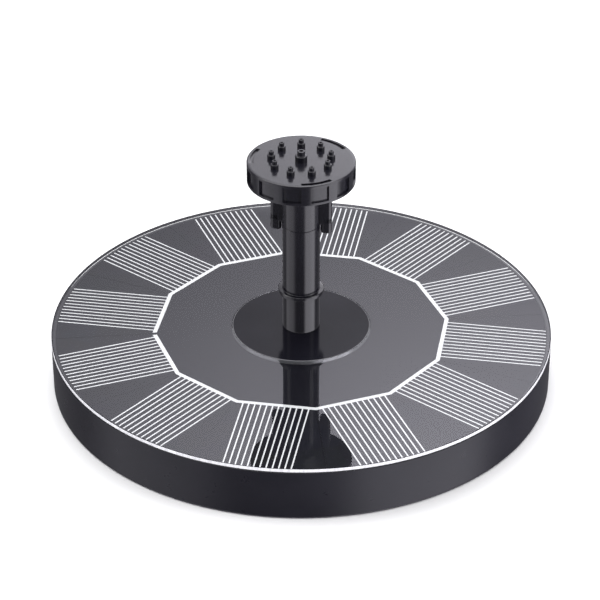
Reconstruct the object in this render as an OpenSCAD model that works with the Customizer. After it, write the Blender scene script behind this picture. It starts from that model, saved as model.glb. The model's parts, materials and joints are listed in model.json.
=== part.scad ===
// Floating solar fountain pump: a round float with a twelve-field solar panel, a brushless
// pump hidden in a well under the float, and a riser tube with a nozzle holder and spray cap.
// Millimetres. Origin at the centre of the float's underside, +Z up, -Y towards the viewer.

/* [Float] */
// Outside radius of the float and the panel cover
float_r = 80; // [65:1:110]
// Height from the underside to the top of the panel cover
float_h = 18; // [17:0.5:30]
// Thickness of the outer wall
wall_t = 2.2; // [1.5:0.1:3]
// Thickness of the deck that carries the panel
deck_t = 1.4; // [1:0.1:2]
// Inside radius of the pump well
well_r = 30; // [29:0.5:34]
// Thickness of the well wall
well_t = 1.6; // [1:0.1:3]
// Width of the top lip that carries the edge of the panel cover
lip_w = 1.3; // [1:0.1:2]
// Bevel on the bottom edge of the wall
foot_bevel = 0.6; // [0.2:0.1:1]
// Thickness of the ring plate that closes the float
base_t = 1.8; // [1.4:0.1:3]
// How far the ring plate is set up from the underside
base_lift = 0.4; // [0.2:0.1:1]

/* [Panel] */
// Thickness of the clear panel cover
cover_t = 1.0; // [0.6:0.1:2]
// Thickness of the backing board
board_t = 1.0; // [0.8:0.1:1.6]
// Thickness of a solar cell
cell_t = 0.15; // [0.1:0.05:0.3]
// Thickness of the printed contact lines
finger_t = 0.05; // [0.03:0.01:0.1]
// Number of cell fields around the panel
fields = 12; // [8:1:16]
// Turn of the first ribbon corner from +X
field_turn = 5.4; // [0:0.1:30]
// Corner radius of the ribbon's centre line
ribbon_r = 47.2; // [40:0.1:60]
// Width of the ribbon
ribbon_w = 1.3; // [1:0.1:3]
// Contact lines in each field
lines = 12; // [6:1:16]
// Distance between contact lines
line_pitch = 1.85; // [1.2:0.05:2.5]
// Width of a contact line
line_w = 0.42; // [0.3:0.02:1]

/* [Outlet hub] */
// Radius of the hub disc in the middle of the panel
hub_r = 22; // [21:0.5:24]
// Outside radius of the male outlet spigot
spigot_r = 5.1; // [4.5:0.05:7]
// Height of the outlet spigot above the panel
spigot_h = 10; // [6:0.5:12]
// Radius of the water passage in the hub
outlet_r = 3.7; // [2.5:0.1:3.8]

/* [Riser tube] */
// Wall of the riser tube round the outlet spigot
tube_wall = 0.8; // [0.6:0.05:3]
// Height of the collar's underside above the panel
collar_at = 12.5; // [11:0.1:20]
// Width of the collar beyond the tube
collar_w = 1.4; // [0.6:0.05:4]
// Thickness of the collar
collar_t = 1.4; // [1:0.1:3]
// Height of the tube's top shoulder above the panel
tube_body = 37.1; // [25:0.1:80]
// Width of the shoulder that the nozzle holder sits on
shoulder_w = 0.95; // [0.7:0.05:2]
// Height of the top spigot
top_spigot_h = 8.0; // [5:0.5:9]
// Wall of the top spigot
top_wall = 0.9; // [0.6:0.05:2]

/* [Nozzle holder] */
// Wall of the holder's barrel round the tube's top spigot
barrel_wall = 0.9; // [0.7:0.05:3]
// Height of the barrel below the cone
barrel_h = 12.6; // [10:0.1:20]
// Height of the cone
cone_h = 6.4; // [4:0.1:10]
// Outside radius of the holder's rim
rim_r = 14.6; // [12:0.1:20]
// Height of the rim band
rim_h = 1.8; // [1:0.1:3]
// Wall of the barrel at the throat
throat_wall = 1.05; // [0.8:0.05:2]
// Width of the two wing fins beyond the barrel
fin_w = 3.75; // [2:0.05:6]
// Thickness of a wing fin
fin_t = 2.6; // [1.5:0.1:4]
// How far the fins reach down beside the tube
fin_drop = 2.6; // [0:0.1:3]
// Turn of the fins from +X
fin_turn = -10; // [-30:1:30]

/* [Spray cap] */
// Wall of the spray cap's skirt
skirt_wall = 1.95; // [1.4:0.05:4]
// Height of the cap without its pegs
cap_h = 6.8; // [5:0.1:8]
// Thickness of the cap's top plate
cap_plate = 1.4; // [1:0.1:2]
// Grip pockets around the cap's side
pockets = 12; // [8:1:16]
// Angle a grip pocket takes up
pocket_deg = 19; // [10:1:20]
// Turn of the first grip pocket from +X
pocket_turn = -10; // [-30:1:30]
// Depth of a grip pocket
pocket_depth = 0.7; // [0.3:0.1:0.9]
// Distance from the cap's edge to the inner side of its three arc slots
arc_inset = 2.2; // [1.7:0.1:4]
// Width of an arc slot
arc_w = 1.2; // [0.6:0.1:1.2]
// Depth of an arc slot
arc_depth = 0.6; // [0.2:0.1:0.8]
// Turn of the first arc slot's middle from +X
arc_turn = -72; // [-180:1:180]
// Jet pegs in the ring
pegs = 9; // [5:1:12]
// Radius of the ring of jet pegs
peg_ring_r = 9.4; // [7:0.1:11]
// Radius of a jet hole
jet_r = 0.4; // [0.3:0.05:0.8]

/* [Pump] */
// Distance of the rotor axis behind the outlet axis
rotor_y = 12; // [11.8:0.1:14]
// Outside radius of the pump housing
housing_r = 22; // [21:0.5:22.5]
// Wall of the pump housing
housing_wall = 1.5; // [1:0.1:2]
// Height inside the dry motor chamber
dry_h = 5.4; // [5:0.1:7]
// Thickness of the wall between the dry and wet sides
dry_floor = 1.0; // [0.8:0.1:1.5]
// Radius of the impeller chamber
chamber_r = 7.5; // [6:0.1:7.6]
// Height of the impeller chamber
chamber_h = 3.2; // [2.8:0.1:4]
// Height of the bayonet collar around the impeller cover
bayonet_h = 1.7; // [1.5:0.1:2.5]
// Outside radius of the impeller
impeller_r = 6.9; // [5.5:0.1:7]
// Number of impeller blades
blades = 6; // [4:1:8]
// Radius of the magnet
magnet_r = 4.7; // [4:0.1:4.9]
// Radius of the fixed shaft
shaft_r = 0.75; // [0.5:0.05:1]
// Inside radius of the rotor well
rotor_well_r = 5.2; // [5:0.1:5.4]

/* [Filter] */
// Thickness of the filter cover's plate
filter_t = 1.1; // [0.9:0.1:1.6]
// How far the filter cover is set up from the underside
filter_lift = 0.5; // [0.3:0.1:1]
// Intake slots around the filter cover
slots = 36; // [18:1:40]
// Height of the filter cover's skirt
skirt_h = 2.8; // [2:0.1:4]

/* [Fits] */
// Running clearance on radius between parts that slide or turn
run_gap = 0.05; // [0.02:0.01:0.1]
// Small clearance between parts that only lie together
seat_gap = 0.1; // [0.05:0.01:0.2]
// Clearance on radius where the filter cover plugs into the well
plug_gap = 0.08; // [0.02:0.01:0.1]
// Gap between a moving part and the face it rests on
rest_gap = 0.02; // [0.01:0.01:0.05]

/* [Fasteners] */
// Screws that hold the ring plate
base_screw_count = 6; // [4:1:8]
// Circle radius of the ring plate's screws
base_screw_at = 54; // [45:1:70]
// Shank radius of the ring plate's screws
base_screw_r = 1.25; // [1:0.05:1.6]
// Circle radius of the pump housing's screws
pump_screw_at = 26.3; // [26:0.1:27]
// Shank radius of the pump housing's screws
pump_screw_r = 1.0; // [0.8:0.05:1.2]

/* [Hidden] */
$fn = 96;
z_cover = float_h - cover_t;
z_finger = z_cover - finger_t;
z_cell = z_finger - cell_t;
z_board = z_cell - board_t;
z_deck = z_board - deck_t;
base_top = base_lift + base_t;
in_r = float_r - wall_t;
panel_r = float_r - lip_w - seat_gap;
pad_h = 1.4;
base_pad_top = base_top + pad_h;
base_boss_r = 3.5;
base_pad_r = 4.5;
base_head_r = 2.3;
base_head_h = 1.3;
z_head = base_lift + 0.2;
pump_boss_r = 2.7;
pump_ear_r = 2.9;
pump_head_r = 2.1;
pump_head_h = 1.3;
ear_t = 1.6;
z_dry = z_deck - dry_h;
z_wet = z_dry - dry_floor;
z_mouth = z_wet - chamber_h;
z_collar = z_mouth - bayonet_h;
z_ear = z_wet + ear_t;
duct_z = z_mouth + 0.8;
duct_h = z_wet - duct_z;
riser_col = 6.4;
well_col = rotor_well_r + 0.8;
z_well_in = z_deck - 1.4;
z_well_out = z_deck - 0.5;
neck_r = 5.0;
neck_bottom = z_deck - 2.9;
collar_out = 10.6;
seat_r = 9.1;
groove_r = 9.9;
cover_r = seat_r - seat_gap;
lug_r = groove_r - 0.15;
lug_half = 9;
cover_twist = 25;
cover_low = z_collar + 0.1;
cover_top = z_mouth - 0.55;
grip_h = 0.6;
shaft_low = z_collar + 0.4;
shaft_top = z_well_in + 0.45;
bush_bore = shaft_r + run_gap;
hub_low = z_mouth + 0.3;
hub_top = z_well_in - 0.7;
hub_out = 2.0;
gap_glue = 0.02;
core_z = z_dry + 0.8;
core_h = 2.4;
coil_z = z_dry + 0.1;
coil_h = 3.8;
leg_in = 8.4;
leg_out = 10.8;
pcb_t = 1.0;
lead_r = 0.32;
lead_x = 2.6;
lead_y = -14.5;
bend_r = 0.8;
lead_z = z_board + 0.35;
lead_far = 26;
filter_r = well_r - plug_gap;
filter_top = filter_lift + filter_t;
skirt_t = 1.2;
sponge_in = 23.4;
sponge_out = filter_r - skirt_t - 0.3;
sponge_h = 4.6;
side_r = ribbon_r * cos(180 / fields);
line_r = panel_r - 0.2;
tube_r = spigot_r + run_gap + tube_wall;
collar_r = tube_r + collar_w;
top_spigot_r = tube_r - shoulder_w;
tube_bore = top_spigot_r - top_wall;
barrel_r = top_spigot_r + run_gap + barrel_wall;
throat_r = barrel_r - throat_wall;
fin_r = barrel_r + fin_w;
z_tube = float_h + rest_gap;
z_shoulder = float_h + tube_body;
z_holder = z_shoulder + rest_gap;
z_cone = z_holder + barrel_h;
z_rim = z_cone + cone_h;
z_rim_top = z_rim + rim_h;
z_plate = z_rim_top + rest_gap;
z_cap_top = z_plate + cap_plate;
z_cap = z_cap_top - cap_h;
cap_in = rim_r + 0.35;
cap_r = cap_in + skirt_wall;
arc_in = cap_r - arc_inset;
pocket_edge = 0.9;
arc_half = 17.5;
peg_r = 1.25;
peg_h = 1.3;
tip_r = 0.8;
tip_h = 2.5;
mid_peg_r = 1.9;
mid_peg_h = 1.9;
mid_tip_r = 1.2;
mid_tip_h = 3.4;
function cone_z(r) = z_cone + (r - barrel_r) * (cone_h - 0.2) / (rim_r - 1.5 - barrel_r);
eps = 0.01;

// ---- shared shapes -------------------------------------------------------------------------
module ring(ro, ri, z0, z1) {
    translate([0, 0, z0]) difference() {
        cylinder(r = ro, h = z1 - z0);
        translate([0, 0, -1]) cylinder(r = ri, h = z1 - z0 + 2);
    }
}

module wedge(r, a0, a1, z0, z1) {
    translate([0, 0, z0]) linear_extrude(height = z1 - z0) intersection() {
        circle(r = r);
        polygon([[0, 0], [2 * r * cos(a0), 2 * r * sin(a0)],
            [2 * r * cos((a0 + a1) / 2), 2 * r * sin((a0 + a1) / 2)],
            [2 * r * cos(a1), 2 * r * sin(a1)]]);
    }
}

module base_spots() for (i = [0:base_screw_count - 1])
    rotate([0, 0, 30 + i * 360 / base_screw_count]) translate([base_screw_at, 0, 0]) children();

module pump_spots() for (i = [0:3])
    rotate([0, 0, 45 + i * 90]) translate([pump_screw_at, 0, 0]) children();

module screw(r, head_r, head_h, length) {
    difference() {
        union() {
            cylinder(r = head_r, h = head_h);
            translate([0, 0, head_h - eps]) cylinder(r = r, h = length + eps);
        }
        translate([-head_r * 0.6, -0.25, -0.1]) cube([head_r * 1.2, 0.5, 0.8]);
        translate([-0.25, -head_r * 0.6, -0.1]) cube([0.5, head_r * 1.2, 0.8]);
    }
}

// ---- float ---------------------------------------------------------------------------------
module float_shell() color([0.13, 0.13, 0.14]) difference() {
    union() {
        rotate_extrude() polygon([
            [in_r, 0], [float_r - foot_bevel, 0], [float_r, foot_bevel],
            [float_r, z_cover - 0.3], [float_r - 0.3, z_cover], [float_r - lip_w, z_cover],
            [float_r - lip_w, z_board], [neck_r + 0.2, z_board], [neck_r + 0.2, z_deck],
            [well_r, z_deck], [well_r, 0], [well_r + well_t, 0], [well_r + well_t, z_deck],
            [in_r, z_deck]]);
        base_spots() translate([0, 0, base_pad_top]) cylinder(r = base_boss_r, h = z_deck - base_pad_top + 0.5);
        pump_spots() translate([0, 0, z_ear]) cylinder(r = pump_boss_r, h = z_deck - z_ear + 0.5);
    }
    base_spots() translate([0, 0, base_pad_top - 1]) cylinder(r = base_screw_r + run_gap, h = 8.4);
    pump_spots() translate([0, 0, z_ear - 1]) cylinder(r = pump_screw_r + run_gap, h = 5);
    for (s = [-1, 1]) translate([s * lead_x - 0.9, lead_y - 1.3, z_deck - 1]) cube([1.8, 2.4, deck_t + 2]);
}

module float_base() color([0.16, 0.16, 0.17]) difference() {
    union() {
        ring(in_r - seat_gap, well_r + well_t + seat_gap, base_lift, base_top);
        base_spots() translate([0, 0, base_top - 0.5]) cylinder(r = base_pad_r, h = pad_h + 0.5);
    }
    base_spots() {
        translate([0, 0, base_lift - 1]) cylinder(r = base_head_r + 0.3, h = z_head + base_head_h - base_lift + 1);
        cylinder(r = base_screw_r + 0.25, h = base_pad_top + 1);
    }
}

module foam_ring() color([0.92, 0.92, 0.9]) difference() {
    ring(in_r - 0.6, well_r + well_t + 0.6, base_top + 0.4, z_deck - 0.2);
    base_spots() cylinder(r = base_pad_r + 0.5, h = float_h);
}

module base_screws() color([0.7, 0.7, 0.72])
    base_spots() translate([0, 0, z_head]) screw(base_screw_r, base_head_r, base_head_h, 8.0);

// ---- panel ---------------------------------------------------------------------------------
module backing_board() color([0.05, 0.05, 0.06]) difference() {
    ring(panel_r, hub_r + 0.3, z_board, z_cell);
    translate([-lead_x - 1.2, -lead_far - 0.6, z_board - 1])
        cube([2 * lead_x + 2.4, lead_far - hub_r + 2, 1.75]);
}

module solar_cells() color([0.04, 0.04, 0.07]) translate([0, 0, z_cell]) for (i = [0:fields - 1])
    rotate([0, 0, field_turn + (i + 0.5) * 360 / fields]) intersection() {
        cylinder(r = panel_r - 0.1, h = cell_t);
        linear_extrude(height = cell_t) polygon([
            [side_r - ribbon_w / 2, -(side_r - ribbon_w / 2) * tan(180 / fields) + 0.15],
            [float_r + 5, -(float_r + 5) * tan(180 / fields) + 0.15],
            [float_r + 5, (float_r + 5) * tan(180 / fields) - 0.15],
            [side_r - ribbon_w / 2, (side_r - ribbon_w / 2) * tan(180 / fields) - 0.15]]);
    }

module cell_fingers() color([0.9, 0.9, 0.9]) translate([0, 0, z_finger]) for (i = [0:fields - 1])
    rotate([0, 0, field_turn + (i + 0.5) * 360 / fields]) for (j = [0:lines - 1])
        let (y = (j - (lines - 1) / 2) * line_pitch,
             far = sqrt(line_r * line_r - pow(abs(y) + line_w / 2, 2)))
        translate([side_r + ribbon_w / 2 + 0.02, y - line_w / 2, 0])
            cube([far - side_r - ribbon_w / 2 - 0.02, line_w, finger_t]);

module ribbon_ring() color([0.9, 0.9, 0.9]) translate([0, 0, z_finger]) difference() {
    rotate([0, 0, field_turn]) difference() {
        cylinder(r = ribbon_r + ribbon_w / 2 / cos(180 / fields), h = finger_t, $fn = 12);
        translate([0, 0, -1]) cylinder(r = ribbon_r - ribbon_w / 2 / cos(180 / fields), h = 3, $fn = 12);
    }
    rotate([0, 0, field_turn + 180]) translate([ribbon_r - 4, -0.7, -1]) cube([8, 1.4, 3]);
}

module panel_cover() color([0.6, 0.65, 0.7, 0.35]) rotate_extrude() polygon([
    [hub_r + 0.15, z_cover], [float_r, z_cover], [float_r, float_h - 0.15], [float_r - 0.15, float_h],
    [hub_r + 0.15, float_h]]);

// ---- outlet --------------------------------------------------------------------------------
module outlet_hub() color([0.1, 0.1, 0.11]) difference() {
    rotate_extrude() polygon([
        [outlet_r, neck_bottom], [neck_r, neck_bottom], [neck_r, z_board], [hub_r, z_board],
        [hub_r, float_h - 0.2], [hub_r - 0.2, float_h], [spigot_r, float_h],
        [spigot_r, float_h + spigot_h - 0.6], [spigot_r - 0.4, float_h + spigot_h],
        [outlet_r, float_h + spigot_h]]);
    ring(12.5, neck_r + 1.6, z_board - 1, z_board + 0.6);
    translate([-lead_x - 1.2, -hub_r - 1, z_board - 1]) cube([2 * lead_x + 2.4, hub_r + lead_y + 2.6, 1.9]);
}

module hub_gasket() color([0.25, 0.25, 0.25])
    ring(12.4, neck_r + 1.7, z_board, z_board + 0.6 - eps);

module riser_tube() color([0.15, 0.15, 0.16]) rotate_extrude() polygon([
    [spigot_r + run_gap, z_tube], [tube_r - 0.2, z_tube], [tube_r, z_tube + 0.2],
    [tube_r, float_h + collar_at],
    [collar_r - 0.3, float_h + collar_at], [collar_r, float_h + collar_at + 0.3],
    [collar_r, float_h + collar_at + collar_t - 0.3], [collar_r - 0.3, float_h + collar_at + collar_t],
    [tube_r, float_h + collar_at + collar_t],
    [tube_r, z_shoulder - 0.2], [tube_r - 0.2, z_shoulder], [top_spigot_r, z_shoulder],
    [top_spigot_r, z_shoulder + top_spigot_h - 0.5], [top_spigot_r - 0.3, z_shoulder + top_spigot_h],
    [tube_bore, z_shoulder + top_spigot_h],
    [tube_bore, float_h + spigot_h + 1.6], [spigot_r + run_gap, float_h + spigot_h + 0.6]]);

module nozzle_holder() color([0.15, 0.15, 0.16]) union() {
    rotate_extrude() polygon([
        [top_spigot_r + run_gap, z_holder], [barrel_r, z_holder], [barrel_r, z_cone],
        [rim_r - 1.5, z_rim - 0.2], [rim_r - 0.2, z_rim], [rim_r, z_rim + 0.2],
        [rim_r, z_rim_top - 0.2], [rim_r - 0.2, z_rim_top], [rim_r - 1.1, z_rim_top],
        [rim_r - 1.3, z_rim_top - 0.4], [throat_r, z_cone + 0.9],
        [throat_r - 0.6, z_cone + 0.2], [throat_r - 0.6, z_holder + top_spigot_h + 1.0],
        [top_spigot_r + run_gap, z_holder + top_spigot_h + 0.3]]);
    rotate([0, 0, fin_turn]) for (s = [0, 180]) rotate([0, 0, s]) rotate([90, 0, 0])
        translate([0, 0, -fin_t / 2]) linear_extrude(height = fin_t) polygon([
            [barrel_r - 0.7, z_holder + 0.3], [barrel_r - 0.3, z_holder + 0.3],
            [tube_r + 0.3, z_holder + 0.1], [tube_r + 0.3, z_holder - fin_drop + 0.5],
            [tube_r + 0.8, z_holder - fin_drop], [fin_r - 0.8, z_holder - fin_drop],
            [fin_r, z_holder - fin_drop + 0.8], [fin_r, cone_z(fin_r) + 0.5], [barrel_r - 0.7, z_cone + 0.3]]);
}

module spray_cap() color([0.14, 0.14, 0.15]) difference() {
    union() {
        rotate_extrude() polygon([
            [cap_in, z_cap], [cap_r - 0.2, z_cap], [cap_r, z_cap + 0.2], [cap_r, z_cap_top - 0.25],
            [cap_r - 0.25, z_cap_top], [0, z_cap_top], [0, z_plate], [cap_in, z_plate]]);
        for (i = [0:pegs - 1]) rotate([0, 0, 90 + i * 360 / pegs]) translate([peg_ring_r, 0, z_cap_top - eps]) {
            cylinder(r = peg_r, h = peg_h);
            cylinder(r = tip_r, h = tip_h);
        }
        translate([0, 0, z_cap_top - eps]) {
            cylinder(r = mid_peg_r, h = mid_peg_h);
            cylinder(r = mid_tip_r, h = mid_tip_h);
        }
        for (i = [0:3]) rotate([0, 0, 45 + i * 90]) translate([rim_r + 0.05 + run_gap, -1.5, z_rim - 0.95])
            cube([cap_r - rim_r - 1.0, 3, 0.7]);
    }
    for (i = [0:pegs - 1]) rotate([0, 0, 90 + i * 360 / pegs]) translate([peg_ring_r, 0, z_plate - 1])
        cylinder(r = jet_r, h = 6);
    translate([0, 0, z_plate - 1]) cylinder(r = jet_r + 0.2, h = 7);
    for (i = [0:pockets - 1]) rotate([0, 0, pocket_turn + i * 360 / pockets]) difference() {
        wedge(cap_r + 1, -pocket_deg / 2, pocket_deg / 2, z_cap + pocket_edge, z_cap_top - pocket_edge);
        translate([0, 0, z_cap]) cylinder(r = cap_r - pocket_depth, h = cap_h);
    }
    for (i = [0:2]) rotate([0, 0, arc_turn + i * 120]) difference() {
        wedge(arc_in + arc_w, -arc_half, arc_half, z_cap_top - arc_depth, z_cap_top + 0.5);
        translate([0, 0, z_cap_top - 1]) cylinder(r = arc_in, h = 2);
    }
}

// ---- pump ----------------------------------------------------------------------------------
module pump_housing() color([0.2, 0.2, 0.22]) difference() {
    union() {
        translate([0, 0, z_wet]) cylinder(r = housing_r, h = z_deck - z_wet - run_gap);
        translate([0, rotor_y, z_mouth]) cylinder(r = chamber_r + 1.3, h = chamber_h + 0.5);
        translate([0, rotor_y, z_collar]) cylinder(r = collar_out, h = bayonet_h + 1.2);
        translate([-chamber_r - 1.1, -5.0, z_mouth]) cube([chamber_r + 1.1, rotor_y + 5.0, chamber_h + 0.5]);
        translate([0, 0, z_mouth]) cylinder(r = 5.0, h = chamber_h + 0.5);
        pump_spots() {
            translate([0, 0, z_wet]) cylinder(r = pump_ear_r, h = ear_t);
            translate([-pump_screw_at + housing_r - 1, -1.8, z_wet]) cube([pump_screw_at - housing_r + 1, 3.6, ear_t]);
        }
    }
    // dry motor chamber around the outlet column and the rotor well
    difference() {
        translate([0, 0, z_dry]) cylinder(r = housing_r - housing_wall, h = dry_h + 1);
        cylinder(r = riser_col, h = float_h);
        translate([0, rotor_y, 0]) cylinder(r = well_col, h = z_well_out);
    }
    // rotor well, shaft socket and impeller chamber
    translate([0, rotor_y, z_mouth]) cylinder(r = rotor_well_r, h = z_well_in - z_mouth);
    translate([0, rotor_y, z_well_in - 1]) cylinder(r = shaft_r + gap_glue, h = 1.5);
    translate([0, rotor_y, z_mouth - 1]) cylinder(r = chamber_r, h = chamber_h + 1);
    // outlet duct and column
    translate([-chamber_r + 0.1, 0, duct_z]) cube([3.8, rotor_y, duct_h]);
    translate([-chamber_r + 0.1, -2.4, duct_z]) cube([chamber_r, 4.8, duct_h]);
    translate([0, 0, duct_z]) cylinder(r = outlet_r, h = float_h);
    translate([0, 0, neck_bottom - 0.1]) cylinder(r = neck_r + run_gap, h = float_h);
    // bayonet seat, grooves and entries
    translate([0, rotor_y, z_collar - 1]) cylinder(r = seat_r, h = bayonet_h + 1);
    translate([0, rotor_y, 0]) for (a = [0, 180]) {
        wedge(groove_r, a - lug_half - 3, a + cover_twist + lug_half + 2, z_collar + 0.4, z_collar + 1.2);
        wedge(groove_r, a + cover_twist - lug_half - 2, a + cover_twist + lug_half + 2, z_collar - 1, z_collar + 0.5);
    }
    pump_spots() cylinder(r = pump_screw_r + 0.2, h = float_h);
}

module housing_screws() color([0.7, 0.7, 0.72])
    pump_spots() translate([0, 0, z_wet - pump_head_h]) screw(pump_screw_r, pump_head_r, pump_head_h, 5.0);

module stator_core() color([0.45, 0.46, 0.5]) difference() {
    union() {
        translate([-leg_out, -9.9, core_z]) cube([2 * leg_out, 2.8, core_h]);
        for (s = [-1, 1]) {
            translate([s > 0 ? leg_in : -leg_out, -9.9, core_z]) cube([leg_out - leg_in, rotor_y + 14.7, core_h]);
            translate([s > 0 ? 4.5 : -leg_out, rotor_y - 5, core_z]) cube([leg_out - 4.5, 9.8, core_h]);
        }
    }
    translate([0, rotor_y, 0]) cylinder(r = well_col + seat_gap, h = float_h);
}

module stator_coils() color([0.72, 0.4, 0.18]) for (s = [-1, 1])
    translate([s * (leg_in + leg_out) / 2, 0, 0]) difference() {
        translate([-2.75, -4.8, coil_z]) cube([5.5, 9.6, coil_h]);
        translate([-(leg_out - leg_in) / 2 - run_gap, -6, core_z - run_gap])
            cube([leg_out - leg_in + 2 * run_gap, 12, core_h + 2 * run_gap]);
    }

module driver_board() color([0.1, 0.35, 0.18])
    translate([-10.2, -17.4, z_dry]) cube([20.4, 7, pcb_t]);

module board_components() color([0.08, 0.08, 0.08]) translate([0, 0, z_dry + pcb_t]) {
    translate([-9.2, -14.6, 0]) cube([4.6, 3.6, 1.3]);
    translate([4.4, -14.4, 0]) cube([3.0, 1.6, 0.9]);
    translate([4.4, -12.2, 0]) cube([1.8, 1.0, 0.6]);
    translate([7.2, -12.2, 0]) cube([1.8, 1.0, 0.6]);
    translate([0, -12.2, 0]) cylinder(r = 1.2, h = 2.0);
}

module hall_sensor() color([0.06, 0.06, 0.06])
    translate([-2, rotor_y + well_col + 0.2, z_dry + 0.4]) cube([4, 1.2, 2.8]);

module lead(x) translate([x, 0, 0]) {
    translate([0, lead_y - bend_r, lead_z]) rotate([90, 0, 0]) cylinder(r = lead_r, h = lead_far + lead_y - bend_r, $fn = 24);
    translate([0, lead_y - bend_r, lead_z - bend_r]) rotate([90, 0, 90])
        rotate_extrude(angle = 90, $fn = 48) translate([bend_r, 0]) circle(r = lead_r, $fn = 24);
    translate([0, lead_y, z_dry + pcb_t]) cylinder(r = lead_r, h = lead_z - bend_r - z_dry - pcb_t, $fn = 24);
}

module lead_positive() color([0.75, 0.1, 0.08]) lead(lead_x);

module lead_negative() color([0.05, 0.05, 0.05]) lead(-lead_x);

module resin_cap() color([0.12, 0.12, 0.12]) difference() {
    translate([0, 0, z_deck - 1.1]) cylinder(r = housing_r - housing_wall - run_gap, h = 1.0);
    cylinder(r = riser_col + run_gap, h = float_h);
    translate([0, rotor_y, 0]) cylinder(r = well_col + run_gap, h = float_h);
    for (s = [-1, 1]) translate([s * lead_x, lead_y, 0]) cylinder(r = lead_r + gap_glue, h = float_h);
}

module rotor_shaft() color([0.85, 0.85, 0.82])
    translate([0, rotor_y, shaft_low]) cylinder(r = shaft_r, h = shaft_top - shaft_low);

module shaft_bush_top() color([0.3, 0.3, 0.3])
    translate([0, rotor_y, 0]) ring(2.2, bush_bore, z_well_in - 0.55, z_well_in);

module impeller() color([0.85, 0.85, 0.83]) translate([0, rotor_y, 0]) difference() {
    union() {
        translate([0, 0, z_wet - 1.1]) cylinder(r = impeller_r, h = 0.9);
        translate([0, 0, hub_low]) cylinder(r = hub_out, h = hub_top - hub_low);
        for (i = [0:blades - 1]) rotate([0, 0, i * 360 / blades]) translate([hub_out - 0.3, -0.4, z_mouth + 0.4])
            cube([impeller_r - hub_out, 0.8, z_wet - 1.0 - z_mouth - 0.4]);
    }
    translate([0, 0, hub_low - 1]) cylinder(r = bush_bore, h = float_h);
}

module rotor_magnet() color([0.25, 0.25, 0.27])
    translate([0, rotor_y, 0]) ring(magnet_r, hub_out + gap_glue, z_wet + 0.1, hub_top - 0.1);

module impeller_cover() color([0.2, 0.2, 0.22]) translate([0, rotor_y, 0]) {
    difference() {
        union() {
            translate([0, 0, cover_low]) cylinder(r = cover_r, h = cover_top - cover_low);
            for (a = [0, 180]) wedge(lug_r, a - lug_half, a + lug_half, z_collar + 0.5, z_collar + 1.1);
            for (x = [-6.6, 5.4]) translate([x, -4.5, cover_low - grip_h]) cube([1.2, 9, grip_h + 0.2]);
        }
        translate([0, 0, z_collar - 1]) cylinder(r = 4.4, h = 4);
    }
    ring(2.6, 1.9 + gap_glue, cover_low, cover_top);
    for (a = [90, 210, 330]) rotate([0, 0, a]) translate([2.4, -0.5, cover_low]) cube([2.4, 1.0, cover_top - cover_low]);
}

module shaft_bush_bottom() color([0.3, 0.3, 0.3])
    translate([0, rotor_y, 0]) ring(1.9, bush_bore, cover_low + 0.1, z_mouth + 0.1);

module cover_seal() color([0.08, 0.08, 0.08])
    translate([0, rotor_y, 0]) ring(8.85, 7.9, cover_top, z_mouth - rest_gap);

// ---- filter --------------------------------------------------------------------------------
module filter_cover() color([0.17, 0.17, 0.18]) difference() {
    union() {
        translate([0, 0, filter_lift]) cylinder(r = filter_r, h = filter_t);
        ring(filter_r, filter_r - skirt_t, filter_lift + 0.3, filter_top + skirt_h);
    }
    for (i = [0:slots - 1]) rotate([0, 0, (i + 0.5) * 360 / slots]) translate([23.9, -0.7, filter_lift - 1])
        cube([3.9, 1.4, filter_t + 2]);
    for (a = [0, 180]) rotate([0, 0, a]) translate([15.5, -5, filter_lift - 1]) cube([1.8, 10, filter_t + 2]);
}

module filter_sponge() color([0.2, 0.22, 0.24])
    ring(sponge_out, sponge_in, filter_top, filter_top + sponge_h);

// ---- assembly ------------------------------------------------------------------------------
float_shell();
float_base();
foam_ring();
base_screws();
backing_board();
solar_cells();
cell_fingers();
ribbon_ring();
panel_cover();
outlet_hub();
hub_gasket();
pump_housing();
housing_screws();
stator_core();
stator_coils();
driver_board();
board_components();
hall_sensor();
lead_positive();
lead_negative();
resin_cap();
rotor_shaft();
shaft_bush_top();
impeller();
rotor_magnet();
impeller_cover();
shaft_bush_bottom();
cover_seal();
filter_cover();
filter_sponge();
riser_tube();
nozzle_holder();
spray_cap();
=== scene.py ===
"""Solar fountain pump: the looks of a floating fountain, built on its own frame."""

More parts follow.
